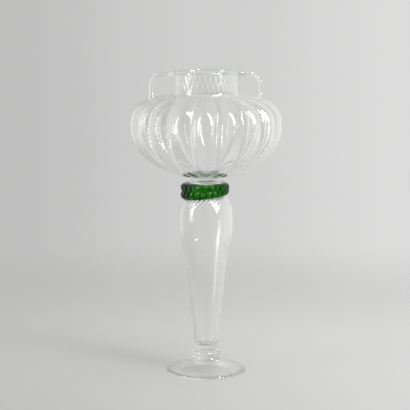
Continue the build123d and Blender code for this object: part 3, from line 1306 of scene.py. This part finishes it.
@dataclass
class Softbox:
    """A lit panel beside the vase, whose glow shows in the glass, and a lamp that lights the floor."""

    name: str
    bearing: float
    distance: float
    top_distance: float
    low: float
    high: float
    width: float
    glow: float
    lamp_power: float
    aim_level: float = 0.05
    edge_glow: float = 0.35
    edge_width: float = 0.3
    cells: int = 16
    most_mirrors: float = 1.5

    def spot(self, across: float, level: float) -> Vector:
        """Gives a point of the panel, by its distance from the middle line and its level."""
        out = Vector((sin(self.bearing), -cos(self.bearing), 0.0))
        along = Vector((cos(self.bearing), sin(self.bearing), 0.0))
        part = (level - self.low) / (self.high - self.low)
        away = self.distance + part * (self.top_distance - self.distance)
        return out * away + along * across + Vector((0.0, 0.0, level))

    def panel(self) -> bpy.types.Object:
        """Builds the glowing panel, which only the glass sees."""
        points = []
        glows = []
        for row in range(self.cells + 1):
            for column in range(self.cells + 1):
                across, up = column / self.cells, row / self.cells
                points.append(self.spot((across - 0.5) * self.width, self.low + up * (self.high - self.low)))
                inside = smooth_step(min(across, 1 - across, up, 1 - up), 0.0, self.edge_width)
                glows.append(self.edge_glow + (1 - self.edge_glow) * inside)
        side = self.cells + 1
        rows = [range(row * side, (row + 1) * side) for row in range(side)]
        mesh = new_mesh(f"{self.name}_panel", points, bridged(rows, closed=False), {Share.GLOW: glows})
        mesh.materials.append(self.material())
        panel = link_object(f"{self.name}_panel", mesh)
        panel.visible_camera = False
        panel.visible_diffuse = False
        panel.visible_shadow = False
        return panel

    def material(self) -> bpy.types.Material:
        """Builds the panel's glow, softer at its edges and gone after a second reflection."""
        made, wiring = new_material(f"{self.name}_glow")
        strength = wiring.math("MULTIPLY", wiring.shader_share(Share.GLOW), self.glow)
        light = wiring.node("ShaderNodeEmission", {"Strength": strength})[0]
        mirrored = wiring.node("ShaderNodeLightPath")["Glossy Depth"]
        gone = wiring.math("GREATER_THAN", mirrored, self.most_mirrors)
        wiring.surface(gone, light, wiring.node("ShaderNodeBsdfTransparent")[0])
        return made

    def lamp(self) -> None:
        """Builds the lamp that throws the vase's shadow."""
        data = bpy.data.lights.new(f"{self.name}_lamp", "AREA")
        data.shape = "RECTANGLE"
        data.size = self.width
        data.size_y = self.high - self.low
        data.energy = self.lamp_power
        lamp = link_object(f"{self.name}_lamp", data)
        middle = self.spot(0.0, (self.low + self.high) / 2)
        lamp.location = middle
        aim = Vector((0.0, 0.0, self.aim_level)) - middle
        lamp.rotation_euler = aim.to_track_quat("-Z", "Y").to_euler()
        lamp.visible_glossy = False
        lamp.visible_transmission = False

    def build(self) -> None:
        """Makes the panel and its lamp."""
        self.panel()
        self.lamp()
        log.info("softbox %s", self.name)


@dataclass
class Studio:
    """A pale floor that fades into a grey backdrop, under soft light from both sides."""

    floor_radius: float = 1.0
    floor_rings: int = 12
    floor_columns: int = 96
    floor_fade: Span = (0.3, 0.85)
    # Painted light and shade: the floor's grey is darker on the left and paler on the right, towards the key
    # lamp.
    floor_left_painted_shade: Colour = (0.4, 0.4, 0.397)
    floor_right_painted_light: Colour = (0.47, 0.47, 0.467)
    painted_light_reach: float = 0.35
    # Painted shade: the floor's grey is scaled darker at the front and paler at the back.
    painted_shade_depth: float = 0.25
    floor_painted_shades: Span = (0.88, 1.03)
    backdrop: tuple[Point, ...] = (
        (0.0, 0.8),
        (0.2, 0.74),
        (0.36, 0.56),
        (0.436, 0.521),
        (0.5, 0.622),
        (0.564, 0.716),
        (0.66, 0.76),
        (0.82, 0.82),
        (1.0, 0.82),
    )
    backdrop_blue: float = 0.995
    behind_level: float = 0.75
    behind_span: Span = (-0.8, 0.2)

    def floor(self) -> None:
        """Builds the floor."""
        radii = straight((self.floor_radius, 0.0), (0.0, 0.0), self.floor_rings)
        rings = plain_rings([(self.floor_radius, 0.0), *radii])
        mesh = turned_mesh("studio_floor", rings, self.floor_columns)
        mesh.materials.append(self.floor_material())
        link_object("studio_floor", mesh)

    def floor_material(self) -> bpy.types.Material:
        """Builds the floor's matt grey, paler to the right and to the back, which fades out far away. The
        paler right is painted light on the key lamp's side; the darker front is painted shade.
        """
        made, wiring = new_material("studio_floor")
        place = wiring.node("ShaderNodeTexCoord")["Object"]
        parts = wiring.parts(place)
        # Painted light: the grey turns paler to the right, towards the key lamp.
        side = wiring.span(parts["X"], (-self.painted_light_reach, self.painted_light_reach))
        grey = wiring.blend(side, self.floor_left_painted_shade, self.floor_right_painted_light)
        # Painted shade: the grey is darker at the front near the camera and paler at the back.
        back = wiring.span(parts["Y"], (-self.painted_shade_depth, self.painted_shade_depth), *self.floor_painted_shades)
        shaded = wiring.node("ShaderNodeVectorMath", {0: grey, "Scale": back}, operation="SCALE")[0]
        gone = wiring.span(wiring.vector("LENGTH", place)["Value"], self.floor_fade)
        matt = wiring.node("ShaderNodeBsdfDiffuse", {"Color": shaded})[0]
        wiring.surface(gone, matt, wiring.node("ShaderNodeBsdfTransparent")[0])
        return made

    def surround(self) -> None:
        """Builds the grey backdrop all round, darker to the left and behind the camera."""
        world = bpy.data.worlds.new("studio")
        bpy.context.scene.world = world
        world.use_nodes = True
        world.node_tree.nodes.clear()
        wiring = Wiring(world.node_tree)
        parts = wiring.parts(wiring.node("ShaderNodeTexCoord")["Generated"])
        across = wiring.math("MULTIPLY_ADD", parts["X"], 0.5, 0.5)
        shade = wiring.node("ShaderNodeValToRGB", {"Fac": across})["Color"]
        ramp = shade.node.color_ramp
        ramp.interpolation = "EASE"
        while len(ramp.elements) < len(self.backdrop):
            ramp.elements.new(0.5)
        for stop, (spot, level) in zip(ramp.elements, self.backdrop):
            stop.position = spot
            stop.color = (level, level, level * self.backdrop_blue, 1.0)
        depth = wiring.span(parts["Y"], self.behind_span, self.behind_level)
        sky = wiring.node("ShaderNodeBackground", {"Color": shade, "Strength": depth})[0]
        wiring.node("ShaderNodeOutputWorld", {"Surface": sky})

    def build(self) -> None:
        """Makes the floor, the backdrop and the lights."""
        self.floor()
        self.surround()
        key = Softbox(
            name="key",
            bearing=radians(54),
            distance=1.05,
            top_distance=0.42,
            low=0.42,
            high=1.9,
            width=0.24,
            glow=70.0,
            lamp_power=19.0,
        )
        fill = Softbox(
            name="fill",
            bearing=radians(-68),
            distance=1.1,
            top_distance=1.1,
            low=0.05,
            high=1.5,
            width=0.36,
            glow=7.0,
            lamp_power=5.2,
        )
        for box in (key, fill):
            box.build()


@dataclass
class PhotoCamera:
    """The camera at the photograph's viewing angle."""

    lens: float = 136.5
    sensor: float = 36.0
    place: tuple[float, float, float] = (-0.00115, -1.768, 0.4737)
    pitch: float = radians(81.06)

    def build(self) -> None:
        """Makes the camera and hands it to the scene."""
        data = bpy.data.cameras.new("photo_camera")
        data.lens = self.lens
        data.sensor_width = self.sensor
        camera = link_object("photo_camera", data)
        camera.location = self.place
        camera.rotation_euler = (self.pitch, 0.0, 0.0)
        bpy.context.scene.camera = camera


def main() -> None:
    """Builds the vase, the studio and the camera."""
    logging.basicConfig(level=logging.INFO, format="%(name)s: %(message)s")
    bpy.context.scene.view_settings.view_transform = "Standard"
    workshop = Workshop.opened()
    stem = Stem()
    bowl = Bowl()
    gathers = [
        Foot(),
        Knop(),
        stem,
        Wafer(),
        Collar(stem=stem),
        bowl,
        Handle(node="left_handle", side=Side.LEFT, bowl=bowl),
        Handle(node="right_handle", side=Side.RIGHT, bowl=bowl),
    ]
    for gather in gathers:
        gather.build(workshop)
    Studio().build()
    PhotoCamera().build()


if __name__ == "__main__":
    main()
